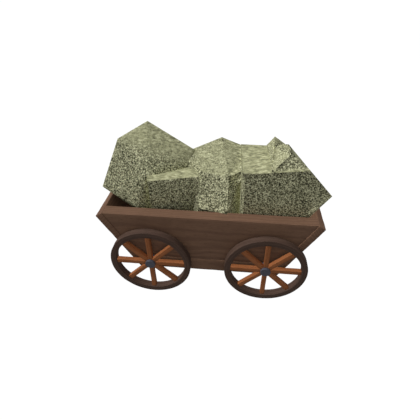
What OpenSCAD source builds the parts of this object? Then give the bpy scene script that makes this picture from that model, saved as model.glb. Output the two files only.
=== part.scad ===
// Wooden mine cart: a hopper tub with sloped end boards on four spoked wheels,
// loaded with lumps of ore. Origin on the ground under the middle of the tub,
// X along the cart, Y across it (the near side is -Y), Z up.

/* [Tub] */
// Length over the top corners of the end boards
tub_top_l = 1200; // [1000:10:1500]
// Length along the underside
tub_bottom_l = 802; // [640:2:980]
// Width over the end boards
tub_w = 600; // [480:10:760]
// Height from the underside to the outer top corners
tub_h = 360; // [290:5:450]
// Thickness of an end board
end_board_t = 41; // [30:1:52]
// Thickness of a side panel
side_t = 67; // [54:1:82]
// How far the side panels stand back from the ends of the end boards
side_setback = 3; // [0:1:8]

/* [Sills and floor] */
// Depth of a sill beam
sill_h = 87; // [84:1:110]
// How far a sill stands in beyond its side panel to carry the floor
sill_ledge = 30; // [24:1:45]
// Number of floor boards
floor_count = 5; // [3:2:7]
// Thickness of a floor board
floor_t = 25; // [18:1:32]
// Gap between two floor boards
floor_gap = 2; // [1:0.5:4]
// Width of a cross bearer
bearer_w = 70; // [50:1:90]
// Depth of a cross bearer
bearer_h = 70; // [55:1:80]
// Length of the tenon on each end of a cross bearer
tenon_l = 38; // [25:1:50]

/* [Wheels] */
// Outside diameter of a wheel
wheel_d = 458; // [380:2:540]
// Depth of the rim, from its tread to its inner face
rim_depth = 34; // [24:1:40]
// Width of the rim across the tread
rim_w = 41; // [34:1:55]
// Number of spokes
spoke_count = 8; // [6:1:10]
// Side of a square spoke
spoke_s = 26; // [18:1:27]
// Gap between the rims and the ends of the end boards
wheel_gap = 4; // [3:1:20]
// Distance from the bottom corner of the tub to the axle
axle_inset = 77; // [40:1:110]
// Height of the axle over the underside of the tub
axle_up = 69; // [60:1:69]

/* [Axles and hubs] */
// Diameter of an axle
axle_d = 24; // [18:1:26]
// Wall of the bush inside a hub
bush_t = 4; // [3:0.5:6]
// Wall of the iron hub barrel
barrel_t = 4; // [3:0.5:6]
// Diameter of the hub flange, the thrust collar and the axle cap
cap_d = 57; // [46:1:60]
// Diameter of the threaded spigot that holds an axle cap
spigot_d = 12; // [8:1:14]
// Length of that spigot
spigot_l = 28; // [20:1:40]
// Chamfer round the face of an axle cap
cap_chamfer = 1.5; // [0.5:0.5:3]
// How far an axle cap stands out from the face of the rim
cap_proud = 6; // [0:1:10]
// Side of an axle plate
plate_s = 64; // [56:1:70]
// Thickness of an axle plate
plate_t = 6; // [4:1:8]

/* [Fasteners] */
// Diameter of the coach screws that hold the end boards
coach_d = 12; // [8:1:14]
// Width of their heads across the corners
coach_head_w = 26; // [20:1:30]
// Height of their heads
coach_head_h = 8; // [6:1:10]
// How far they reach into the sills and side panels
coach_grip = 45; // [30:1:55]
// Number of coach screws up each corner
coach_rows = 4; // [3:1:5]
// Distance of the lowest one from the foot of the end board
coach_foot = 37; // [30:1:60]
// Distance of the highest one from the outer top corner
coach_top = 49; // [30:1:70]
// Least distance from their ends to the axle
coach_clear = 2; // [1:0.5:4]
// Diameter of the floor nails
nail_d = 5; // [4:0.5:6]
// Diameter of their heads
nail_head_d = 11; // [9:0.5:13]
// Height of their heads
nail_head_h = 3; // [2:0.5:4]
// How far they reach into the sills
nail_grip = 30; // [20:1:40]
// Diameter of the dowels between the sills and the side panels
dowel_d = 16; // [12:1:20]
// Length of a dowel
dowel_l = 80; // [50:2:90]
// Diameter of the axle plate screws
plate_screw_d = 6; // [4:1:8]
// How far they reach into the sills
plate_screw_grip = 25; // [15:1:35]
// Diameter of their heads
plate_screw_head_d = 11; // [9:0.5:13]
// Height of their heads
plate_screw_head_h = 3; // [2:0.5:4]
// Distance of these screws from the edges of their plate
plate_screw_inset = 8; // [7:0.5:12]

/* [Ore] */
// Overall size of the ore lumps, as a share of the full load
ore_scale = 1; // [0.9:0.01:1]
// Clearance of the ore from the boards
ore_gap = 1; // [0.5:0.5:3]

/* [Fits] */
// Running clearance between an axle and its bushes
axle_fit = 0.05; // [0.02:0.01:0.1]
// End clearance between parts that turn past each other
end_fit = 0.3; // [0.2:0.1:0.8]
// Clearance of a fastener or a tenon in its hole
wood_fit = 0.2; // [0.1:0.05:0.5]
// Gap between the mitred feet of two spokes
mitre_fit = 0.2; // [0.1:0.05:0.4]

/* [Hidden] */
WHEELS = ["near_left", "near_right", "far_left", "far_right"];
ORE = ["left_lump", "ledge_block", "middle_lump", "right_block", "peak_lump", "crest_lump"];
FLOOR = [for (i = [1:floor_count]) str("floor_board_", i)];
$fn = 96;
eps = 0.01;
// How far a cutter reaches past the face that it opens
cut = 1;
// Width of a tenon over the width of its bearer or spoke
tenon_share = 0.55;
// Depth of a spoke's tenon over the depth of the rim
tenon_depth_share = 0.6;
// Distance of the nails from the middle of a floor board over the pitch of the boards
nail_share = 0.3;

wood = "#5a4232";
spoke_wood = "#80492a";
rim_wood = "#40322a";
iron = "#3d3e47";
ore = "#7d7d60";

// Tub, seen along Y: the end boards lean out at lean_a from upright
run = (tub_top_l - tub_bottom_l) / 2;
lean_a = atan(run / tub_h);
board_x = end_board_t / cos(lean_a);
board_l = tub_h / cos(lean_a);
rim_h = tub_h + end_board_t * sin(lean_a);
under_z = wheel_d / 2 - axle_up;
rim_z = under_z + rim_h;
floor_z = under_z + sill_h + floor_t;
// Half width over the side panels, and half width of the space between them
side_y = tub_w / 2 - side_setback;
inner_y = side_y - side_t;
sill_y = inner_y - sill_ledge;
// Floor boards and bearers share one pitch along X
floor_half = inner_x(sill_h);
floor_pitch = 2 * floor_half / floor_count;
bearer_x = floor_pitch;
tenon_w = bearer_w * tenon_share;
tenon_h = bearer_h / 2;
// Wheels
axle_x = tub_bottom_l / 2 - axle_inset;
axle_z = wheel_d / 2;
wheel_r = wheel_d / 2;
rim_r = wheel_r - rim_depth;
wheel_y = tub_w / 2 + wheel_gap;
front_y = wheel_y + rim_w;
cap_y = front_y + cap_proud;
spoke_y = wheel_y + (rim_w - spoke_s) / 2;
hub_end_y = spoke_y + spoke_s;
bush_r = axle_d / 2 + axle_fit;
barrel_bore_r = bush_r + bush_t;
barrel_r = barrel_bore_r + barrel_t;
spoke_step = 360 / spoke_count;
spoke_tenon_d = spoke_s * tenon_share;
spoke_tenon_l = rim_depth * tenon_depth_share;
// Dowels and coach screws stand in the middle of the side panels
dowel_y = side_y - side_t / 2;
dowel_pitch = tub_bottom_l / 5;
// The right axle from the foot of the end board: up along the board, and in from its face
axle_along = axle_up * cos(lean_a) - axle_inset * sin(lean_a);
axle_in = axle_up * sin(lean_a) + axle_inset * cos(lean_a);
coach_pitch = (board_l - coach_foot - coach_top) / (coach_rows - 1);

// X of an end board's inner face at a height over the underside
function inner_x(h) = tub_bottom_l / 2 - board_x + h * tan(lean_a);
function left(name) = name == "near_left" || name == "far_left";
function near(name) = name == "near_left" || name == "near_right";

// Outline in XZ between the end boards, from height low to height high
module between_ends(low, high, y0, y1) {
    translate([0, y1, under_z])
        rotate([90, 0, 0])
            linear_extrude(y1 - y0)
                polygon([
                    [-inner_x(low), low], [inner_x(low), low],
                    [inner_x(high), high], [-inner_x(high), high]
                ]);
}

// Puts its children on the left or the right end of the cart
module at_end(is_left) {
    mirror([is_left ? 1 : 0, 0, 0]) children();
}

// Puts its children on the near or the far side of the cart
module at_side(is_near) {
    mirror([0, is_near ? 1 : 0, 0]) children();
}

// Cylinder along Y from y0 to y1
module across(d, y0, y1) {
    translate([0, y1, 0]) rotate([90, 0, 0]) cylinder(h = y1 - y0, d = d);
}

// Puts its children at one row of coach screws on the right end: Z runs into the wood
module coach_places(row) {
    for (side = [-1, 1])
        translate([tub_bottom_l / 2, side * dowel_y, under_z])
            rotate([0, lean_a, 0])
                translate([0, 0, coach_foot + row * coach_pitch])
                    rotate([0, -90, 0]) children();
}

// Length of the screws in a row: one that points at the axle stops short of it
function coach_l(row) =
    abs(coach_foot + row * coach_pitch - axle_along) < (axle_d + coach_d) / 2 + coach_clear
        ? min(end_board_t + coach_grip, axle_in - axle_d / 2 - coach_clear)
        : end_board_t + coach_grip;

module coach_shanks(gap = 0) {
    for (row = [0:coach_rows - 1]) coach_places(row) translate([0, 0, -gap])
        cylinder(h = coach_l(row) + 2 * gap, d = coach_d + 2 * gap);
}

module end_board(is_left) {
    at_end(is_left) difference() {
        translate([0, tub_w / 2, under_z])
            rotate([90, 0, 0])
                linear_extrude(tub_w)
                    polygon([
                        [tub_bottom_l / 2 - board_x, 0],
                        [tub_bottom_l / 2, 0],
                        [tub_top_l / 2, tub_h],
                        [tub_top_l / 2 - end_board_t * cos(lean_a), rim_h]
                    ]);
        coach_shanks(wood_fit);
    }
}

module coach_screws(is_left) {
    at_end(is_left) {
        for (row = [0:coach_rows - 1]) coach_places(row) translate([0, 0, -coach_head_h])
            cylinder(h = coach_head_h, d = coach_head_w, $fn = 6);
        coach_shanks();
    }
}

module all_coach_holes() {
    for (is_left = [true, false]) at_end(is_left) coach_shanks(wood_fit);
}

// Dowels stand half in the sill and half in the panel, clear of the axles
module dowel_places() {
    for (i = [-1:1]) translate([i * dowel_pitch, dowel_y, under_z + sill_h - dowel_l / 2]) children();
}

module dowels(is_near) {
    at_side(is_near) dowel_places() cylinder(h = dowel_l, d = dowel_d);
}

module dowel_holes() {
    dowel_places() translate([0, 0, -wood_fit])
        cylinder(h = dowel_l + 2 * wood_fit, d = dowel_d + 2 * wood_fit);
}

module side_panel(is_near) {
    at_side(is_near) difference() {
        between_ends(sill_h, rim_h, inner_y, side_y);
        dowel_holes();
        all_coach_holes();
    }
}

module sill(is_near) {
    at_side(is_near) difference() {
        between_ends(0, sill_h, sill_y, side_y);
        dowel_holes();
        all_coach_holes();
        for (x = [-bearer_x, bearer_x]) translate([x, sill_y, bearer_z()]) mortise();
        for (x = [-axle_x, axle_x]) translate([x, 0, axle_z])
            across(axle_d + 2 * axle_fit, sill_y - cut, side_y + cut);
        nail_places() nail(wood_fit);
        plate_screw_places() plate_screw(wood_fit);
    }
}

// Middle height of the tenons
function bearer_z() = under_z + sill_h - bearer_h / 2;

module mortise() {
    translate([-tenon_w / 2 - wood_fit, -cut, -tenon_h / 2 - wood_fit])
        cube([tenon_w + 2 * wood_fit, tenon_l + cut + wood_fit, tenon_h + 2 * wood_fit]);
}

module bearer(is_left) {
    at_end(is_left) translate([bearer_x, 0, bearer_z()]) {
        cube([bearer_w, 2 * sill_y, bearer_h], center = true);
        cube([tenon_w, 2 * (sill_y + tenon_l), tenon_h], center = true);
    }
}

// Centre of a floor board, counted from 1 at the left
function floor_x(i) = (i - (floor_count + 1) / 2) * floor_pitch;

module floor_board(i) {
    low = i == 1 ? -2 * floor_half : floor_x(i) - floor_pitch / 2 + floor_gap / 2;
    high = i == floor_count ? 2 * floor_half : floor_x(i) + floor_pitch / 2 - floor_gap / 2;
    difference() {
        intersection() {
            between_ends(sill_h, sill_h + floor_t, wood_fit - inner_y, inner_y - wood_fit);
            translate([low, -tub_w, 0]) cube([high - low, 2 * tub_w, 2 * floor_z]);
        }
        for (is_near = [true, false]) at_side(is_near) nail_places() nail(wood_fit);
    }
}

module nail_places() {
    for (i = [1:floor_count], s = [-1, 1])
        translate([floor_x(i) + s * floor_pitch * nail_share, inner_y - sill_ledge / 2, floor_z]) children();
}

// The head is let into the board, flush with its top
module nail(gap = 0) {
    translate([0, 0, -nail_head_h])
        cylinder(h = nail_head_h + (gap > 0 ? cut : 0), d = nail_head_d + 2 * gap);
    translate([0, 0, -floor_t - nail_grip - gap])
        cylinder(h = floor_t + nail_grip + gap - nail_head_h, d = nail_d + 2 * gap);
}

module floor_nails() {
    for (is_near = [true, false]) at_side(is_near) nail_places() nail();
}

module axle(is_left) {
    at_end(is_left) translate([axle_x, 0, axle_z]) difference() {
        across(axle_d, -hub_end_y, hub_end_y);
        for (is_near = [true, false]) at_side(is_near)
            across(spigot_d + 2 * axle_fit, hub_end_y - spigot_l - cut, hub_end_y + cut);
    }
}

// Iron plates on the inner faces of the sills, round the axles
module axle_plates() {
    for (is_near = [true, false], x = [-axle_x, axle_x]) at_side(is_near)
        difference() {
            translate([x - plate_s / 2, sill_y - plate_t, plate_z() - plate_s / 2])
                cube([plate_s, plate_t, plate_s]);
            translate([x, 0, axle_z])
                across(axle_d + 2 * wood_fit, sill_y - plate_t - cut, sill_y + cut);
            plate_screw_places() plate_screw(wood_fit);
        }
}

// The plates stay under the floor boards, so they sit a little below the axle
function plate_z() = min(axle_z, under_z + sill_h - plate_s / 2 - cut);

module plate_screw_places() {
    plate_screw_off = plate_s / 2 - plate_screw_inset;
    for (x = [-axle_x, axle_x], sx = [-1, 1], sz = [-1, 1])
        translate([x + sx * plate_screw_off, sill_y - plate_t, plate_z() + sz * plate_screw_off])
            rotate([-90, 0, 0]) children();
}

module plate_screw(gap = 0) {
    translate([0, 0, -gap]) cylinder(h = plate_t + plate_screw_grip + 2 * gap, d = plate_screw_d + 2 * gap);
}

module axle_plate_screws() {
    for (is_near = [true, false]) at_side(is_near) plate_screw_places() {
        plate_screw();
        translate([0, 0, -plate_screw_head_h]) cylinder(h = plate_screw_head_h, d = plate_screw_head_d);
    }
}

// Puts its children on one of the four wheels' axle centres, far side shape
module at_wheel(w) {
    at_side(near(w)) translate([left(w) ? -axle_x : axle_x, 0, axle_z]) children();
}

// Thrust collar on the axle between the sill and the hub
module collar(w) {
    at_wheel(w) difference() {
        across(cap_d, side_y, wheel_y - end_fit);
        across(axle_d + 2 * wood_fit, side_y - cut, wheel_y + cut);
    }
}

// Screwed into the end of the axle, it keeps the wheel on
module cap(w) {
    at_wheel(w) {
        rotate([-90, 0, 0]) rotate_extrude() polygon([
            [0, hub_end_y + end_fit], [cap_d / 2, hub_end_y + end_fit],
            [cap_d / 2, cap_y - cap_chamfer], [cap_d / 2 - cap_chamfer, cap_y], [0, cap_y]
        ]);
        across(spigot_d, hub_end_y - spigot_l, hub_end_y + end_fit + eps);
    }
}

module rim(w) {
    at_wheel(w) difference() {
        across(wheel_d, wheel_y, front_y);
        across(2 * rim_r, wheel_y - cut, front_y + cut);
        spoke_places() translate([rim_r - spoke_s, 0, 0]) rotate([0, 90, 0])
            cylinder(h = spoke_s + spoke_tenon_l + wood_fit, d = spoke_tenon_d + 2 * wood_fit);
    }
}

// Along X from the wheel centre, in the middle plane of the spokes
module spoke_places() {
    for (i = [0:spoke_count - 1])
        translate([0, spoke_y + spoke_s / 2, 0]) rotate([0, i * spoke_step, 0]) children();
}

// Feet mitred to each other round the hub barrel, a round tenon in the rim
module spokes(w) {
    half_a = spoke_step / 2;
    apex = mitre_fit / 2 / sin(half_a);
    mitre_l = apex + spoke_s / 2 / tan(half_a);
    shoulder = sqrt(rim_r * rim_r - spoke_s * spoke_s / 4);
    at_wheel(w) difference() {
        spoke_places() {
            translate([0, spoke_s / 2, 0]) rotate([90, 0, 0]) linear_extrude(spoke_s) polygon([
                [apex, 0], [mitre_l, -spoke_s / 2], [shoulder, -spoke_s / 2],
                [shoulder, spoke_s / 2], [mitre_l, spoke_s / 2]
            ]);
            translate([shoulder - cut, 0, 0]) rotate([0, 90, 0])
                cylinder(h = rim_r + spoke_tenon_l - shoulder + cut, d = spoke_tenon_d);
        }
        across(2 * barrel_r + 2 * axle_fit, spoke_y - cut, hub_end_y + cut);
    }
}

// Barrel through the spokes' feet, with a flange behind them
module hub(w) {
    at_wheel(w) difference() {
        union() {
            across(cap_d, wheel_y, spoke_y);
            across(2 * barrel_r, wheel_y, hub_end_y);
        }
        across(2 * barrel_bore_r, wheel_y - cut, hub_end_y + cut);
    }
}

module bush(w) {
    at_wheel(w) difference() {
        across(2 * barrel_bore_r, wheel_y, hub_end_y);
        across(2 * bush_r, wheel_y - cut, hub_end_y + cut);
    }
}

// The space that ore may fill: clear of the boards, and all above the rim
module ore_space() {
    low = sill_h + floor_t + ore_gap / 2;
    high = rim_h + 2 * ore_gap;
    intersection() {
        translate([-ore_gap, 0, 0]) between_ends(low, high, ore_gap - inner_y, inner_y - ore_gap);
        translate([ore_gap, 0, 0]) between_ends(low, high, ore_gap - inner_y, inner_y - ore_gap);
    }
    translate([-tub_top_l, -tub_w, rim_z + ore_gap]) cube([2 * tub_top_l, 2 * tub_w, tub_top_l]);
}

// A broken lump is the hull of its corners, given from the middle of the rim
module lump(corners) {
    points = [for (c = corners) [c[0] * ore_scale, c[1] * ore_scale, c[2] * ore_scale + rim_z]];
    intersection() {
        hull() polyhedron(points, [[for (i = [0:len(points) - 1]) i]]);
        ore_space();
    }
}

// Lumps are cut where they lie against the ones named here
LEFT_LUMP = [
    [-344, 0, 396], [-493, -75, 324], [-610, -127, 54], [-332, -176, 164],
    [-142, -68, 170], [-100, 0, 242], [-90, 60, 150], [-439, -150, -61], [-395, -215, -20],
    [-200, -110, -40], [-270, -110, -268], [-180, -110, -268], [-130, 150, -268],
    [-350, 160, -268], [-520, 60, 60], [-430, 195, 40], [-420, 140, 250],
    [-180, 195, 60]
];
LEDGE_BLOCK = [
    [-318, -222, 164], [-59, -150, 164], [-122, 57, 164], [-381, -15, 164],
    [-314, -221, -30], [-62, -151, -30], [-280, -195, -268], [-90, -140, -268],
    [-120, 0, -268], [-320, -30, -268]
];
MIDDLE_LUMP = [
    [-43, -113, 171], [96, -150, 171], [178, -88, 185], [42, 75, 288],
    [178, 75, 236], [-165, -10, 215], [-121, 75, 210], [94, -246, 3],
    [-60, -206, 0], [178, -94, -20], [120, -215, -60], [-90, -200, -268],
    [120, -200, -268], [-90, 170, -268], [130, 170, -268], [-100, 195, 60],
    [130, 195, 80]
];
RIGHT_BLOCK = [
    [178, -224, 234], [163, -206, 232], [481, -224, 271], [610, -224, 134],
    [506, -224, -5], [180, -224, -60], [165, -206, -60], [149, 85, 246], [400, 75, 249], [515, 40, 90],
    [170, 190, 70], [480, 190, 60], [170, -200, -268], [380, -200, -268],
    [380, 180, -268], [170, 180, -268]
];
PEAK_LUMP = [
    [302, -221, 250], [481, -221, 270], [389, -180, 337], [380, -100, 344],
    [322, -60, 325], [300, 20, 240], [420, 20, 240], [300, -100, 200], [420, -100, 200]
];
CREST_LUMP = [
    [319, -10, 343], [287, 80, 246], [302, -215, 246], [420, 80, 240],
    [420, -60, 240], [300, 0, 200], [400, 0, 200]
];

module left_lump() {
    difference() {
        lump(LEFT_LUMP);
        lump(LEDGE_BLOCK);
    }
}

module ledge_block() {
    lump(LEDGE_BLOCK);
}

module middle_lump() {
    difference() {
        lump(MIDDLE_LUMP);
        lump(LEFT_LUMP);
        lump(LEDGE_BLOCK);
        lump(RIGHT_BLOCK);
    }
}

module right_block() {
    lump(RIGHT_BLOCK);
}

module peak_lump() {
    difference() {
        lump(PEAK_LUMP);
        lump(RIGHT_BLOCK);
    }
}

module crest_lump() {
    difference() {
        lump(CREST_LUMP);
        lump(RIGHT_BLOCK);
        lump(PEAK_LUMP);
    }
}

color(wood) end_board(true);  // left_end_board
color(wood) end_board(false);  // right_end_board
color(wood) side_panel(true);  // near_side_panel
color(wood) side_panel(false);  // far_side_panel
color(wood) sill(true);  // near_sill
color(wood) sill(false);  // far_sill
color(wood) bearer(true);  // left_bearer
color(wood) bearer(false);  // right_bearer
for (i = [1:floor_count])
    color(wood) floor_board(i);
color(iron) axle(true);  // left_axle
color(iron) axle(false);  // right_axle
color(iron) axle_plates();
color(iron) axle_plate_screws();
color(iron) coach_screws(true);  // left_coach_screws
color(iron) coach_screws(false);  // right_coach_screws
color(iron) floor_nails();
color(wood) dowels(true);  // near_dowels
color(wood) dowels(false);  // far_dowels
for (w = WHEELS) {
    color(iron) collar(w);
    color(iron) cap(w);
    color(rim_wood) rim(w);
    color(spoke_wood) spokes(w);
    color(iron) hub(w);
    color(iron) bush(w);
}
color(ore) left_lump();  // ore_left_lump
color(ore) ledge_block();  // ore_ledge_block
color(ore) middle_lump();  // ore_middle_lump
color(ore) right_block();  // ore_right_block
color(ore) peak_lump();  // ore_peak_lump
color(ore) crest_lump();  // ore_crest_lump
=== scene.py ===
"""A wooden mine cart with sloped end boards and four spoked wheels, loaded with broken ore.

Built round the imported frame, in metres: X along the cart, Y across it, Z up from the ground.
"""
import math

import bmesh
import bpy
from mathutils import Matrix, Vector, noise


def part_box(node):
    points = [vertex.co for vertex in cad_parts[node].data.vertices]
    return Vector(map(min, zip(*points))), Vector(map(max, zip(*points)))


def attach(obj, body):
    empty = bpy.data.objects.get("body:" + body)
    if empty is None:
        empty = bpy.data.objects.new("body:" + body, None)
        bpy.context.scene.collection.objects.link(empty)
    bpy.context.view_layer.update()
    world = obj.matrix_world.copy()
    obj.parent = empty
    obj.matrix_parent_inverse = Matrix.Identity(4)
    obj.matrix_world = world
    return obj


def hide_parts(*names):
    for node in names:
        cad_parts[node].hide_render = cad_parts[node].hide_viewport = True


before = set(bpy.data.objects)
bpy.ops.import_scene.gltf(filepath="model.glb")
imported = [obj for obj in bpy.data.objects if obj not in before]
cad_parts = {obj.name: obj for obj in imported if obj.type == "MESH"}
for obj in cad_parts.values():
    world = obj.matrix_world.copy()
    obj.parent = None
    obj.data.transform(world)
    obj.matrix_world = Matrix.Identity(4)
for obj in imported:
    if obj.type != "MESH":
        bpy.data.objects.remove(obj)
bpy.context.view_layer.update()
scene = bpy.context.scene


# ---------------------------------------------------------------------------------------
# Camera and studio. A short lens close to the cart, looking down over its near side.
# A plain white floor, a broad key light high on the left, and a dim white room all round.
# ---------------------------------------------------------------------------------------
cart_length = 2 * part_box("right_end_board")[1].x
corner_drop = 0.0198
corner_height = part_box("near_side_panel")[1].z - corner_drop
camera_azimuth = math.radians(5.50)
camera_elevation = math.radians(37.21)
camera_reach = 1.6564 * cart_length
camera_aim = Vector((-0.0141 * cart_length, 0, corner_height - 0.1204 * cart_length))

camera_back = Vector((
    math.sin(camera_azimuth) * math.cos(camera_elevation),
    -math.cos(camera_azimuth) * math.cos(camera_elevation),
    math.sin(camera_elevation),
))
camera = bpy.data.objects.new("camera", bpy.data.cameras.new("camera"))
camera.data.sensor_width = 36
camera.data.lens = 27.54
camera.location = camera_aim + camera_reach * camera_back
camera.rotation_mode = "QUATERNION"
camera.rotation_quaternion = (-camera_back).to_track_quat("-Z", "Y")
scene.collection.objects.link(camera)
scene.camera = camera
scene.view_settings.view_transform = "Standard"


def linear(hex_code):
    """An sRGB colour such as "#5a4232" as linear red, green, blue and alpha."""
    parts = [int(hex_code[i:i + 2], 16) / 255 for i in (1, 3, 5)]
    return [p / 12.92 if p <= 0.04045 else ((p + 0.055) / 1.055) ** 2.4 for p in parts] + [1]


def add_node(tree, kind, links=None, **settings):
    """Adds one node. links gives its inputs, by name or number: a value, a node or a socket."""
    node = tree.nodes.new(kind)
    for name, value in settings.items():
        setattr(node, name, value)
    for name, value in (links or {}).items():
        socket = node.inputs[name]
        if isinstance(value, bpy.types.Node):
            tree.links.new(next(s for s in value.outputs if s.enabled), socket)
        elif isinstance(value, bpy.types.NodeSocket):
            tree.links.new(value, socket)
        else:
            socket.default_value = value
    return node


def blank_material(name):
    """A new material with an empty node tree."""
    material = bpy.data.materials.new(name)
    material.use_nodes = True
    material.node_tree.nodes.clear()
    return material


studio = bpy.data.worlds.new("studio")
studio.use_nodes = True
studio.node_tree.nodes.clear()
walls = add_node(studio.node_tree, "ShaderNodeBackground", {"Color": (1, 1, 1, 1), "Strength": 0.29})
backdrop = add_node(studio.node_tree, "ShaderNodeBackground", {"Color": (1, 1, 1, 1), "Strength": 1.0})
seen = add_node(studio.node_tree, "ShaderNodeLightPath").outputs["Is Camera Ray"]
both = add_node(studio.node_tree, "ShaderNodeMixShader", {0: seen, 1: walls, 2: backdrop})
add_node(studio.node_tree, "ShaderNodeOutputWorld", {"Surface": both})
scene.world = studio

# Neither lamp casts a shadow: the light is as even as in a white tent
key = bpy.data.objects.new("key", bpy.data.lights.new("key", "SUN"))
key.data.energy = 2.79
key.data.angle = math.radians(30)
key.data.use_shadow = False
key.rotation_mode = "QUATERNION"
key.rotation_quaternion = Vector((-0.59, -0.09, 0.80)).to_track_quat("Z", "Y")
scene.collection.objects.link(key)

# A weak fill from the right keeps the faces turned from the key light from going dead
fill = bpy.data.objects.new("fill", bpy.data.lights.new("fill", "SUN"))
fill.data.energy = 0.16
fill.data.angle = math.radians(60)
fill.data.use_shadow = False
fill.rotation_mode = "QUATERNION"
fill.rotation_quaternion = Vector((0.9, -0.2, 0.3)).to_track_quat("Z", "Y")
scene.collection.objects.link(fill)

floor_mesh = bpy.data.meshes.new("floor")
floor_half = 30
floor_drop = 0.0005
floor_mesh.from_pydata(
    [(x, y, 0) for x, y in ((-1, -1), (1, -1), (1, 1), (-1, 1))], [], [(0, 1, 2, 3)])
floor_mesh.transform(Matrix.Scale(floor_half, 4))
floor = bpy.data.objects.new("floor", floor_mesh)
floor.location.z = -floor_drop
scene.collection.objects.link(floor)
floor_paint = blank_material("pale_floor_paint")
floor_shader = add_node(floor_paint.node_tree, "ShaderNodeBsdfPrincipled", {
    "Base Color": (0.03, 0.03, 0.03, 1), "Roughness": 1.0, "Specular IOR Level": 0.0,
    "Emission Color": (1, 1, 1, 1), "Emission Strength": 1.0})
add_node(floor_paint.node_tree, "ShaderNodeOutputMaterial", {"Surface": floor_shader})
floor_mesh.materials.append(floor_paint)
floor.visible_diffuse = False
floor.visible_glossy = False


# ---------------------------------------------------------------------------------------
# The tub: two sloped end boards over two upright side panels, each panel on a sill beam.
# Sawn oak, 41 to 67 mm thick, darkened by oil and mine dirt, with knocked edges.
# ---------------------------------------------------------------------------------------
def grain_wood(name, dark, light, pore, ring_mm, fibre_mm, roughness, bump_mm):
    """Sawn hardwood. Growth rings run round a heart below the board, and fibres run along it.

    Both follow the attribute "grain": metres along, across and through the board. Wood is no
    metal and its IOR is about 1.5. Real rings are 2 to 4 mm apart and pores 0.3 mm wide, too
    fine to see on a whole cart, so ring_mm and fibre_mm draw them several times coarser.
    """
    material = blank_material(name)
    tree = material.node_tree
    place = add_node(tree, "ShaderNodeAttribute", attribute_name="grain").outputs["Vector"]
    # Slow wander of the rings, as the trunk was never straight
    stretched = add_node(tree, "ShaderNodeVectorMath", {0: place, 1: (1.2, 7.0, 7.0)},
                         operation="MULTIPLY")
    wander = add_node(tree, "ShaderNodeTexNoise", {"Vector": stretched, "Scale": 1.6, "Detail": 2.0})
    across = add_node(tree, "ShaderNodeVectorMath", {0: place, 1: (0.06, 1.0, 1.0)},
                      operation="MULTIPLY")
    shift = add_node(tree, "ShaderNodeVectorMath", {0: wander.outputs["Color"], 1: (0.07, 0.07, 0.07)},
                     operation="MULTIPLY")
    bent = add_node(tree, "ShaderNodeVectorMath", {0: across, 1: shift.outputs[0]}, operation="ADD")
    radius = add_node(tree, "ShaderNodeVectorMath", {0: bent.outputs[0]}, operation="LENGTH")
    turns = add_node(tree, "ShaderNodeMath", {0: radius.outputs["Value"], 1: 2 * math.pi * 1000 / ring_mm},
                     operation="MULTIPLY")
    ring = add_node(tree, "ShaderNodeMath", {0: turns.outputs[0]}, operation="SINE")
    ring_share = add_node(tree, "ShaderNodeMapRange", {"Value": ring.outputs[0], 1: -1.0, 2: 1.0})
    fine = add_node(tree, "ShaderNodeVectorMath", {0: place, 1: (0.07, 1.0, 1.0)}, operation="MULTIPLY")
    fibre = add_node(tree, "ShaderNodeTexNoise",
                     {"Vector": fine.outputs[0], "Scale": 1000 / fibre_mm, "Detail": 3.0, "Roughness": 0.6})
    blend = add_node(tree, "ShaderNodeMath", {0: ring_share.outputs[0], 1: 0.35}, operation="MULTIPLY")
    blend = add_node(tree, "ShaderNodeMath", {0: fibre.outputs[0], 1: 0.65, 2: blend.outputs[0]},
                     operation="MULTIPLY_ADD")
    grown = add_node(tree, "ShaderNodeValToRGB", {"Fac": blend.outputs[0]})
    grown.color_ramp.elements[0].position = 0.25
    grown.color_ramp.elements[0].color = linear(dark)
    grown.color_ramp.elements[1].position = 0.75
    grown.color_ramp.elements[1].color = linear(light)
    # Open pores: short dark dashes along the grain
    pores_at = add_node(tree, "ShaderNodeVectorMath", {0: place, 1: (0.12, 1.0, 1.0)}, operation="MULTIPLY")
    pores = add_node(tree, "ShaderNodeTexNoise",
                     {"Vector": pores_at.outputs[0], "Scale": 1400 / fibre_mm, "Detail": 1.0})
    pore_share = add_node(tree, "ShaderNodeMapRange",
                          {"Value": pores.outputs[0], 1: 0.6, 2: 0.72, 4: 0.6})
    pored = add_node(tree, "ShaderNodeMix",
                     {0: pore_share.outputs[0], 6: grown.outputs[0], 7: linear(pore)},
                     data_type="RGBA")
    # Broad stains a hand wide
    stain = add_node(tree, "ShaderNodeTexNoise",
                     {"Vector": place, "Scale": 6.0, "Detail": 4.0, "Roughness": 0.6})
    stain_share = add_node(tree, "ShaderNodeMapRange",
                           {"Value": stain.outputs[0], 1: 0.42, 2: 0.75, 4: 0.35})
    stained = add_node(tree, "ShaderNodeMix",
                       {0: stain_share.outputs[0], 6: pored.outputs[2], 7: linear(pore)},
                       data_type="RGBA")
    height = add_node(tree, "ShaderNodeMath", {0: blend.outputs[0], 1: pore_share.outputs[0]},
                      operation="SUBTRACT")
    bump = add_node(tree, "ShaderNodeBump", {"Height": height.outputs[0], "Distance": bump_mm / 1000,
                                             "Strength": 0.8})
    # Oil sits in the pale wood and leaves the pores and stains dry, so those are duller
    dull = add_node(tree, "ShaderNodeMapRange", {"Value": height.outputs[0], 1: 0.0, 2: 0.8,
                                                 3: roughness + 0.12, 4: roughness - 0.1})
    shader = add_node(tree, "ShaderNodeBsdfPrincipled", {
        "Base Color": stained.outputs[2], "Roughness": dull.outputs[0], "IOR": 1.5,
        "Specular IOR Level": 0.15, "Normal": bump})
    add_node(tree, "ShaderNodeOutputMaterial", {"Surface": shader})
    return material


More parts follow.
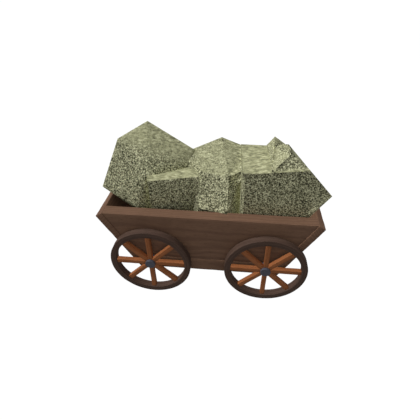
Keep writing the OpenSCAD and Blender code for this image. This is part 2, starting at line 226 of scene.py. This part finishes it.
def new_piece(name, bm, material, body, smooth_angle=35):
    """Turns a bmesh into an object that rides on a body."""
    mesh = bpy.data.meshes.new(name)
    bmesh.ops.recalc_face_normals(bm, faces=bm.faces)
    bm.to_mesh(mesh)
    bm.free()
    mesh.polygons.foreach_set("use_smooth", [True] * len(mesh.polygons))
    mesh.set_sharp_from_angle(angle=math.radians(smooth_angle))
    mesh.materials.append(material)
    piece = bpy.data.objects.new(name, mesh)
    scene.collection.objects.link(piece)
    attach(piece, body)
    return piece


def store_grain(piece, along, across, start):
    """Writes "grain" on a piece: how far each point lies along, across and through the board."""
    along, across = Vector(along).normalized(), Vector(across).normalized()
    through = along.cross(across)
    attribute = piece.data.attributes.new("grain", "FLOAT_VECTOR", "POINT")
    values = []
    for vertex in piece.data.vertices:
        values += [vertex.co.dot(along) + start[0], vertex.co.dot(across) + start[1],
                   vertex.co.dot(through) + start[2]]
    attribute.data.foreach_set("vector", values)


def sawn_block(corners, cell, ease, wear):
    """A board as a closed grid between eight corners, its edges eased and then nibbled by wear.

    corners[i][j][k] runs along, across and through the board.
    """
    def between(a, b, c):
        low = [[corners[0][j][k].lerp(corners[1][j][k], a) for k in (0, 1)] for j in (0, 1)]
        return (low[0][0].lerp(low[1][0], b)).lerp(low[0][1].lerp(low[1][1], b), c)

    counts = []
    for step in ((1, 0, 0), (0, 1, 0), (0, 0, 1)):
        far = corners[step[0]][step[1]][step[2]]
        counts.append(max(1, round((far - corners[0][0][0]).length / cell)))
    bm = bmesh.new()
    made = {}

    def point(key):
        if key not in made:
            made[key] = bm.verts.new(between(*[k / n for k, n in zip(key, counts)]))
        return made[key]

    for axis in range(3):
        u, v = (axis + 1) % 3, (axis + 2) % 3
        for side in (0, counts[axis]):
            for i in range(counts[u]):
                for j in range(counts[v]):
                    ring = []
                    for du, dv in ((0, 0), (1, 0), (1, 1), (0, 1)):
                        key = [0, 0, 0]
                        key[axis], key[u], key[v] = side, i + du, j + dv
                        ring.append(point(tuple(key)))
                    bm.faces.new(ring)
    bmesh.ops.recalc_face_normals(bm, faces=bm.faces)
    sharp = [e for e in bm.edges if e.calc_face_angle(0) > 0.5]
    eased = bmesh.ops.bevel(bm, geom=sharp, offset=ease, segments=2, profile=0.6, affect="EDGES")
    bm.normal_update()
    edge_points = {v for face in eased["faces"] for v in face.verts}
    for vertex in bm.verts:
        rough = 0.5 + 0.5 * noise.noise(vertex.co * 9)
        depth = 0.0003 * rough
        if vertex in edge_points:
            depth += wear * max(0.0, noise.noise(vertex.co * 31 + Vector((7, 3, 5))))
        vertex.co -= vertex.normal * depth
    return bm


# Oiled oak off the saw: dark brown with a dull sheen and hardly a highlight, roughness 0.75.
# The saw and the open pores leave it about 0.4 mm uneven. IOR 1.5, not metallic.
tub_oak = grain_wood("oiled_oak_sawn", "#6b5040", "#7b5e4a", "#5c4535", 18, 5, 0.75, 0.4)

end_low, end_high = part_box("right_end_board")
panel_low, panel_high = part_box("far_side_panel")
sill_low, sill_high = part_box("far_sill")
slope = (panel_high.x - sill_high.x) / (panel_high.z - sill_high.z)
lean = math.atan(slope)
end_thick = (end_high.x - panel_high.x) / math.cos(lean)
outer_top_z = end_high.z - end_thick * math.sin(lean)
outer_foot_x = end_low.x + end_thick / math.cos(lean)


def inner_x(z):
    """How far from the middle the end boards' inner faces stand at height z."""
    return panel_high.x - (panel_high.z - z) * slope


def mirrored(corners, flip_x, flip_y):
    """The same corners on the other end or side of the cart."""
    sign = Vector((-1 if flip_x else 1, -1 if flip_y else 1, 1))
    return [[[c * sign for c in row] for row in face] for face in corners]


board_cell = 0.024
board_wear = 0.0015
end_ease, end_wear = 0.002, 0.002
for end, flip in (("left", True), ("right", False)):
    outline = {
        (0, 0): (end_low.x, end_low.z), (1, 0): (outer_foot_x, end_low.z),
        (0, 1): (panel_high.x, end_high.z), (1, 1): (end_high.x, outer_top_z)}
    corners = [[[Vector((outline[k, j][0], y, outline[k, j][1])) for k in (0, 1)] for j in (0, 1)]
               for y in (end_low.y, end_high.y)]
    bm = sawn_block(mirrored(corners, flip, False), board_cell, end_ease, end_wear)
    board = new_piece(f"{end}_end_board_oak", bm, tub_oak, "cart")
    store_grain(board, (0, 1, 0), (math.sin(lean) * (-1 if flip else 1), 0, math.cos(lean)),
                (0.3 if flip else 1.7, 0.05, 0.11))
    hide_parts(f"{end}_end_board")


def upright_corners(low_z, high_z, low_y, high_y):
    """Corners of a beam or panel that fits between the sloped end boards."""
    return [[[Vector((side * inner_x(z), y, z)) for y in (low_y, high_y)] for z in (low_z, high_z)]
            for side in (-1, 1)]


# Each piece starts elsewhere in the grain, so that no two look cut from the same place.
# The sill's edges are planed off wider than the others, 7 mm.
for side, flip, start in (("near", True, 0.0), ("far", False, 2.3)):
    for part, low, high, ease, drop in (
            ("side_panel", panel_low, panel_high, 0.0015, 0.02), ("sill", sill_low, sill_high, 0.007, 0.31)):
        corners = upright_corners(low.z, high.z, low.y, high.y)
        bm = sawn_block(mirrored(corners, False, flip), board_cell, ease, board_wear)
        beam = new_piece(f"{side}_{part}_oak", bm, tub_oak, "cart")
        store_grain(beam, (1, 0, 0), (0, 0, 1), (start, -0.62 + drop, 0.19 + drop))
        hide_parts(f"{side}_{part}")


# ---------------------------------------------------------------------------------------
# The bottom: five floor boards laid across on the sills' ledges, over two cross bearers
# tenoned into the sills. Plain sawn oak like the rest of the tub, held by iron nails.
# ---------------------------------------------------------------------------------------
floor_cell = 0.03
floor_ease, floor_wear = 0.002, 0.002
bearer_ease, bearer_wear = 0.003, 0.003
for number in range(1, 6):
    name = f"floor_board_{number}"
    low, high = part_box(name)
    left = [-inner_x(low.z), -inner_x(high.z)] if number == 1 else [low.x, low.x]
    right = [inner_x(low.z), inner_x(high.z)] if number == 5 else [high.x, high.x]
    corners = [[[Vector((x, y, z)) for x, z in zip(side, (low.z, high.z))] for side in (left, right)]
               for y in (low.y, high.y)]
    bm = sawn_block(corners, floor_cell, floor_ease, floor_wear)
    board = new_piece(f"{name}_oak", bm, tub_oak, "cart")
    store_grain(board, (0, 1, 0), (1, 0, 0), (0.7 * number, 0.13 * number, 0.3))
    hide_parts(name)

for end in ("left", "right"):
    low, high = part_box(f"{end}_bearer")
    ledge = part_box("far_sill")[0].y
    corners = [[[Vector((x, y, z)) for z in (low.z, high.z)] for x in (low.x, high.x)]
               for y in (-ledge, ledge)]
    bm = sawn_block(corners, floor_cell, bearer_ease, bearer_wear)
    beam = new_piece(f"{end}_bearer_oak", bm, tub_oak, "cart")
    store_grain(beam, (0, 1, 0), (1, 0, 0), (low.x, 0.4, 0.1))
    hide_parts(f"{end}_bearer")


# ---------------------------------------------------------------------------------------
# Dowels that pin each side panel to its sill: turned oak, driven in and hidden once the two
# are together.
# ---------------------------------------------------------------------------------------
def dress(name, material, ease=0.0):
    """Gives a CAD node its material and, where ease is set, eases its sharp edges."""
    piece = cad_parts[name]
    piece.data.materials.clear()
    piece.data.materials.append(material)
    if ease:
        piece.modifiers.new("joined", "WELD").merge_threshold = 0.00001
        eased = piece.modifiers.new("eased", "BEVEL")
        eased.width = ease
        eased.segments = 2
        eased.limit_method = "ANGLE"
        eased.angle_limit = math.radians(35)


def fine_wood(name, dark, light, streak_mm, roughness):
    """Turned hardwood, its grain in short streaks that follow the object's own X axis.

    No metal, IOR 1.5. Real streaks are under 1 mm wide, drawn coarser so that they show.
    """
    material = blank_material(name)
    tree = material.node_tree
    place = add_node(tree, "ShaderNodeTexCoord").outputs["Object"]
    drawn = add_node(tree, "ShaderNodeVectorMath", {0: place, 1: (0.2, 1.0, 1.0)}, operation="MULTIPLY")
    streaks = add_node(tree, "ShaderNodeTexNoise",
                       {"Vector": drawn.outputs[0], "Scale": 1000 / streak_mm, "Detail": 3.0})
    tone = add_node(tree, "ShaderNodeValToRGB", {"Fac": streaks.outputs[0]})
    tone.color_ramp.elements[0].position = 0.35
    tone.color_ramp.elements[0].color = linear(dark)
    tone.color_ramp.elements[1].position = 0.65
    tone.color_ramp.elements[1].color = linear(light)
    bump = add_node(tree, "ShaderNodeBump", {"Height": streaks.outputs[0], "Distance": 0.0006})
    dull = add_node(tree, "ShaderNodeMapRange", {"Value": streaks.outputs[0], 1: 0.35, 2: 0.65,
                                                 3: roughness + 0.1, 4: roughness - 0.08})
    shader = add_node(tree, "ShaderNodeBsdfPrincipled", {
        "Base Color": tone.outputs[0], "Roughness": dull.outputs[0], "IOR": 1.5,
        "Specular IOR Level": 0.3, "Normal": bump})
    add_node(tree, "ShaderNodeOutputMaterial", {"Surface": shader})
    return material


# Dry turned oak, IOR 1.5: paler than the boards and a little smoother, roughness 0.6
dowel_oak = fine_wood("turned_oak_flush", "#5a4232", "#84654c", 6, 0.6)
for side in ("near", "far"):
    dress(f"{side}_dowels", dowel_oak)


# ---------------------------------------------------------------------------------------
# Coach screws, floor nails, axle plates and their screws: mild steel, black from the forge,
# browned with rust round the heads. The square heads were knocked and their corners eased.
# ---------------------------------------------------------------------------------------
def worn_iron(name, base, bright, rust, rust_share, roughness, grain_mm, bump_mm):
    """Worn metal: a cast or forged skin in two tones, with rust or dirt in patches.

    Bare metal would be fully metallic. Scale and oil cover most of this, so its cleanest
    patches reach 0.45 and rust or dirt 0.05, and the IOR stays at its default. Patches are
    about 25 mm wide, as on real handled iron.
    """
    material = blank_material(name)
    tree = material.node_tree
    place = add_node(tree, "ShaderNodeTexCoord").outputs["Object"]
    skin = add_node(tree, "ShaderNodeTexNoise",
                    {"Vector": place, "Scale": 1000 / grain_mm, "Detail": 4.0, "Roughness": 0.6})
    patches = add_node(tree, "ShaderNodeTexNoise", {"Vector": place, "Scale": 38.0, "Detail": 4.0,
                                                   "Roughness": 0.65})
    mixed = add_node(tree, "ShaderNodeMapRange", {"Value": patches.outputs[0], 1: 0.5, 2: 0.68,
                                                  4: rust_share})
    shade = add_node(tree, "ShaderNodeValToRGB", {"Fac": skin.outputs[0]})
    shade.color_ramp.elements[0].position = 0.35
    shade.color_ramp.elements[0].color = linear(base)
    shade.color_ramp.elements[1].position = 0.68
    shade.color_ramp.elements[1].color = linear(bright)
    colour = add_node(tree, "ShaderNodeMix", {0: mixed.outputs[0], 6: shade.outputs[0], 7: linear(rust)},
                      data_type="RGBA")
    metal = add_node(tree, "ShaderNodeMapRange", {"Value": mixed.outputs[0], 3: 0.45, 4: 0.05})
    matt = add_node(tree, "ShaderNodeMapRange", {"Value": skin.outputs[0], 1: 0.3, 2: 0.7,
                                                 3: roughness - 0.1, 4: roughness + 0.12})
    bump = add_node(tree, "ShaderNodeBump", {"Height": skin.outputs[0], "Distance": bump_mm / 1000})
    shader = add_node(tree, "ShaderNodeBsdfPrincipled", {
        "Base Color": colour.outputs[2], "Metallic": metal.outputs[0], "Roughness": matt.outputs[0],
        "Normal": bump})
    add_node(tree, "ShaderNodeOutputMaterial", {"Surface": shader})
    return material


# Forge scale on mild steel: blue black, half dull, roughness about 0.5. The hammered skin is
# uneven by 0.3 mm at a pitch of 5 mm.
forged_steel = worn_iron("forge_black_steel", "#3a3a3d", "#5c5a58", "#5a3d2c", 0.7, 0.5, 5, 0.3)
forged_ease = 0.0012
for name in ("left_coach_screws", "right_coach_screws", "axle_plates"):
    dress(name, forged_steel, forged_ease)
for name in ("floor_nails", "axle_plate_screws"):
    dress(name, forged_steel)


# ---------------------------------------------------------------------------------------
# Axles, collars and caps: turned iron rods in cast iron fittings, worn to one dark grey.
# Each cap closes its wheel's hub with a plain flat disc.
# ---------------------------------------------------------------------------------------
# Cast iron rubbed by hands and grease: an even slate grey with a soft sheen, roughness 0.6.
# Sand casting leaves a skin about 0.4 mm uneven, drawn at 7 mm where real sand grains are 0.5.
cast_iron = worn_iron("cast_iron_handled", "#50525d", "#5e606c", "#54463f", 0.3, 0.6, 7, 0.4)
for end in ("left", "right"):
    dress(f"{end}_axle", cast_iron)
wheels = [f"{side}_{end}" for side in ("near", "far") for end in ("left", "right")]
collar_ease, cap_ease = 0.001, 0.0018
for wheel in wheels:
    dress(f"{wheel}_collar", cast_iron, collar_ease)
    dress(f"{wheel}_cap", cast_iron, cap_ease)


# ---------------------------------------------------------------------------------------
# Hubs and bushes: a cast iron hub that holds the spokes, lined with a pressed bronze bush.
# The bronze shows only as a thin ring between hub and axle, dulled by grease.
# ---------------------------------------------------------------------------------------
# Bronze under old grease: brown gold, smoother than the iron, roughness 0.4, default IOR.
# Where the grease is thick it looks nearly black and no longer metallic.
greased_bronze = worn_iron("greased_bronze", "#8a6a3a", "#b08a4e", "#3b2d1c", 0.8, 0.4, 3, 0.1)
hub_ease = 0.0012
for wheel in wheels:
    dress(f"{wheel}_hub", cast_iron, hub_ease)
    dress(f"{wheel}_bush", greased_bronze)


# ---------------------------------------------------------------------------------------
# Wheel rims: bent ash hoops with a square section, dark with grease and worn at the edges.
# The grain runs round the hoop.
# ---------------------------------------------------------------------------------------
# Ash black-brown with grease and dirt: an even, nearly dull face, roughness 0.7, IOR 1.5
rim_ash = grain_wood("greased_ash_bent", "#4b3930", "#58453b", "#3d2f27", 14, 5, 0.7, 0.4)


def hoop(low, high, band, steps, ease, wear):
    """A hoop that fills the box low to high, band deep from the outside in, with eased edges."""
    centre = (low + high) / 2
    outer = (high.z - low.z) / 2
    half = (high.y - low.y) / 2
    profile = []
    section = ((outer - band, -half), (outer, -half), (outer, half), (outer - band, half))
    for i, (r, y) in enumerate(section):
        before, after = section[i - 1], section[(i + 1) % 4]
        to_before = Vector((before[0] - r, before[1] - y)).normalized() * ease
        to_after = Vector((after[0] - r, after[1] - y)).normalized() * ease
        inward = 0.3 * ease
        profile.append((r + to_before.x, y + to_before.y))
        profile.append((r + (inward if r < outer - band / 2 else -inward),
                        y + (inward if y < 0 else -inward)))
        profile.append((r + to_after.x, y + to_after.y))
        span = Vector((after[0] - r, after[1] - y))
        for k in (1, 2):
            profile.append((r + span.x * k / 3, y + span.y * k / 3))
    bm = bmesh.new()
    rings = []
    for s in range(steps):
        angle = 2 * math.pi * s / steps
        ring = []
        for r, y in profile:
            spot = Vector((math.cos(angle) * r, y, math.sin(angle) * r)) + centre
            lift = r - outer + band / 2
            out = Vector((math.cos(angle) * lift, y, math.sin(angle) * lift))
            depth = 0.0002 * (0.5 + 0.5 * noise.noise(spot * 17))
            depth += wear * max(0.0, noise.noise(spot * 33) - 0.05)
            ring.append(bm.verts.new(spot - out.normalized() * depth))
        rings.append(ring)
    count = len(profile)
    for s in range(steps):
        for k in range(count):
            bm.faces.new((rings[s][k], rings[s][(k + 1) % count],
                          rings[(s + 1) % steps][(k + 1) % count], rings[(s + 1) % steps][k]))
    return bm


rim_band = 0.034
rim_steps = 180
rim_ease, rim_wear = 0.0015, 0.0008
for wheel in wheels:
    low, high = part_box(f"{wheel}_rim")
    centre = (low + high) / 2
    bm = hoop(low, high, rim_band, rim_steps, rim_ease, rim_wear)
    rim = new_piece(f"{wheel}_rim_ash", bm, rim_ash, f"{wheel}_wheel")
    # Here the grain's "along" is the way round the hoop
    attribute = rim.data.attributes.new("grain", "FLOAT_VECTOR", "POINT")
    values = []
    for vertex in rim.data.vertices:
        offset = vertex.co - centre
        reach = math.hypot(offset.x, offset.z)
        values += [math.atan2(offset.z, abs(offset.x)) * reach, vertex.co.y, reach + 0.3]
    attribute.data.foreach_set("vector", values)
    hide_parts(f"{wheel}_rim")


# ---------------------------------------------------------------------------------------
# Spokes: eight square ash bars from hub to rim in each wheel, left paler and redder than the
# rims because less grease reaches them. Their edges are eased with a plane.
# ---------------------------------------------------------------------------------------
# Planed ash under wax: warm red brown with a faint sheen, roughness 0.65, IOR 1.5
spoke_ash = grain_wood("waxed_ash_planed", "#8b5430", "#9f643e", "#744526", 12, 4.5, 0.65, 0.3)
spoke_count = 8
spoke_cell = 0.013
spoke_ease, spoke_wear = 0.0022, 0.0012
foot_share = 0.8  # Each foot starts inside the hub flange, at this share of its radius
rim_entry = 0.002
for wheel in wheels:
    low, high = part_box(f"{wheel}_spokes")
    rim_low, rim_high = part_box(f"{wheel}_rim")
    centre = (low + high) / 2
    half = (high.y - low.y) / 2
    start = (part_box(f"{wheel}_hub")[1].z - centre.z) * foot_share
    stop = (rim_high.z - rim_low.z) / 2 - rim_band + rim_entry
    whole = bmesh.new()
    grain = []
    for number in range(spoke_count):
        turn = Matrix.Rotation(-2 * math.pi * number / spoke_count, 4, "Y")
        corners = [[[Vector((r, y, z)) for z in (-half, half)] for y in (-half, half)]
                   for r in (start, stop)]
        bm = sawn_block(corners, spoke_cell, spoke_ease, spoke_wear)
        grain += [(v.co.x + number * 0.7, v.co.y + 0.21 + number * 0.013, v.co.z + 0.17)
                  for v in bm.verts]
        bmesh.ops.transform(bm, matrix=Matrix.Translation(centre) @ turn, verts=bm.verts)
        step = bpy.data.meshes.new("step")
        bm.to_mesh(step)
        bm.free()
        whole.from_mesh(step)
        bpy.data.meshes.remove(step)
    bars = new_piece(f"{wheel}_spokes_ash", whole, spoke_ash, f"{wheel}_wheel")
    attribute = bars.data.attributes.new("grain", "FLOAT_VECTOR", "POINT")
    attribute.data.foreach_set("vector", [value for spot in grain for value in spot])
    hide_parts(f"{wheel}_spokes")


# ---------------------------------------------------------------------------------------
# The load: six broken blocks of greenish ore wedged in the tub. Rough split faces, speckled
# with dark and pale grains, their edges chipped.
# ---------------------------------------------------------------------------------------
# Split ore is chalky to the eye, with no highlight: no metal, IOR 1.5, roughness 0.85 on the
# pale grains and 0.97 on the dark ones. Real grains are 1 to 5 mm, drawn at about 7 mm.
ore_rock = blank_material("speckled_ore_split")
tree = ore_rock.node_tree
place = add_node(tree, "ShaderNodeTexCoord").outputs["Object"]
grains = add_node(tree, "ShaderNodeTexNoise",
                  {"Vector": place, "Scale": 140.0, "Detail": 3.0, "Roughness": 0.7})
split_tone = add_node(tree, "ShaderNodeValToRGB", {"Fac": grains.outputs[0]})


def three_tones(ramp, *stops):
    """Sets a colour ramp to three stops, each a position and a colour."""
    ramp.elements.new(0.5)
    for element, (position, colour) in zip(ramp.elements, stops):
        element.position = position
        element.color = linear(colour)


three_tones(split_tone.color_ramp, (0.38, "#1c1c17"), (0.5, "#969674"), (0.62, "#fafad0"))
# On faces that lie level the bedding shows end to end, as longer and paler streaks
bedded = add_node(tree, "ShaderNodeVectorMath", {0: place, 1: (0.4, 1.0, 1.0)}, operation="MULTIPLY")
streaks = add_node(tree, "ShaderNodeTexNoise",
                   {"Vector": bedded.outputs[0], "Scale": 90.0, "Detail": 3.0, "Roughness": 0.65})
bed_tone = add_node(tree, "ShaderNodeValToRGB", {"Fac": streaks.outputs[0]})
three_tones(bed_tone.color_ramp, (0.3, "#62624b"), (0.5, "#9f9f7b"), (0.7, "#d4d4ac"))
facing = add_node(tree, "ShaderNodeSeparateXYZ",
                  {0: add_node(tree, "ShaderNodeNewGeometry").outputs["Normal"]}).outputs["Z"]
level = add_node(tree, "ShaderNodeMapRange", {"Value": facing, 1: 0.4, 2: 0.95})
shoulder = add_node(tree, "ShaderNodeAttribute", attribute_name="bedding").outputs["Fac"]
bedded_share = add_node(tree, "ShaderNodeMath", {0: level.outputs[0], 1: shoulder},
                        operation="MAXIMUM")
rock_tone = add_node(tree, "ShaderNodeMix", {0: bedded_share.outputs[0], 6: split_tone.outputs[0],
                                             7: bed_tone.outputs[0]}, data_type="RGBA")
rock_height = add_node(tree, "ShaderNodeTexNoise",
                       {"Vector": place, "Scale": 90.0, "Detail": 6.0, "Roughness": 0.65})
rock_bump = add_node(tree, "ShaderNodeBump", {"Height": rock_height.outputs[0], "Distance": 0.003,
                                              "Strength": 0.7})
rock_dull = add_node(tree, "ShaderNodeMapRange", {"Value": grains.outputs[0], 1: 0.36, 2: 0.64,
                                                  3: 0.97, 4: 0.85})
rock_shader = add_node(tree, "ShaderNodeBsdfPrincipled", {
    "Base Color": rock_tone.outputs[2], "Roughness": rock_dull.outputs[0], "IOR": 1.5,
    "Specular IOR Level": 0.2, "Normal": rock_bump})
add_node(tree, "ShaderNodeOutputMaterial", {"Surface": rock_shader})


def broken_rock(name, cell, ease, rough):
    """A CAD lump with chipped edges and hollows cut into its faces, never past its own skin."""
    bm = bmesh.new()
    bm.from_mesh(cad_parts[name].data)
    bmesh.ops.remove_doubles(bm, verts=bm.verts, dist=0.00001)
    bmesh.ops.dissolve_limit(bm, angle_limit=math.radians(1), verts=bm.verts, edges=bm.edges)
    sharp = [e for e in bm.edges if e.calc_face_angle(0) > math.radians(12)]
    bmesh.ops.bevel(bm, geom=sharp, offset=ease, segments=1, affect="EDGES", clamp_overlap=True)
    bmesh.ops.triangulate(bm, faces=bm.faces)
    for _ in range(6):
        long_edges = [e for e in bm.edges if e.calc_length() > cell]
        if not long_edges:
            break
        bmesh.ops.subdivide_edges(bm, edges=long_edges, cuts=1)
        bmesh.ops.triangulate(bm, faces=[f for f in bm.faces if len(f.verts) > 3])
    bm.normal_update()
    moved = []
    for vertex in bm.verts:
        coarse = 0.5 + 0.5 * noise.noise(vertex.co * 13)
        fine = 0.5 + 0.5 * noise.noise(vertex.co * 47)
        moved.append(vertex.co - vertex.normal * rough * (0.65 * coarse + 0.35 * fine))
    for vertex, spot in zip(bm.verts, moved):
        vertex.co = spot
    return bm


def soften_shade(piece, rounds, steeper):
    """Shades a rock as if weathered round, without moving it: its normals are blurred.

    Points on the near side are also shaded as if they stood steeper, each by its own share.
    """
    mesh = piece.data
    normals = [vertex.normal.copy() for vertex in mesh.vertices]
    for _ in range(rounds):
        blurred = [normal.copy() for normal in normals]
        for edge in mesh.edges:
            a, b = edge.vertices
            blurred[a] += normals[b]
            blurred[b] += normals[a]
        normals = [normal.normalized() for normal in blurred]
    down_front = Vector((0, -0.6, -0.8))
    normals = [(normal + down_front * share * max(0.0, -normal.y)).normalized()
               for normal, share in zip(normals, steeper)]
    mesh.normals_split_custom_set_from_vertices(normals)


rock_cell, rock_ease, rock_rough = 0.02, 0.0008, 0.001
bedding_top, shoulder_lift = 0.85, 0.3
for lump, rounds, steeper in (
        ("left_lump", 8, 0.3), ("ledge_block", 1, 0.1), ("middle_lump", 2, 0.4),
        ("right_block", 1, 0.3), ("peak_lump", 1, 0.2), ("crest_lump", 1, 0.2)):
    bm = broken_rock(f"ore_{lump}", rock_cell, rock_ease, rock_rough)
    rock = new_piece(f"ore_{lump}_rock", bm, ore_rock, "ore_load", 180)
    bedding = [0.0] * len(rock.data.vertices)
    if lump == "left_lump":
        # Bedding also shows on its shoulder, above a line that falls from its left corner
        low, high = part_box(f"ore_{lump}")
        corner_x, corner_z = low.x + 0.117, high.z - 0.072
        line_fall, blend_height = 0.376, 0.07
        for vertex in rock.data.vertices:
            above = vertex.co.z - corner_z + line_fall * (vertex.co.x - corner_x)
            bedding[vertex.index] = min(1.0, max(0.0, 0.5 + above / blend_height))
    attribute = rock.data.attributes.new("bedding", "FLOAT", "POINT")
    attribute.data.foreach_set("value", [bedding_top * share for share in bedding])
    soften_shade(rock, rounds, [steeper - (steeper + shoulder_lift) * share for share in bedding])
    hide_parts(f"ore_{lump}")
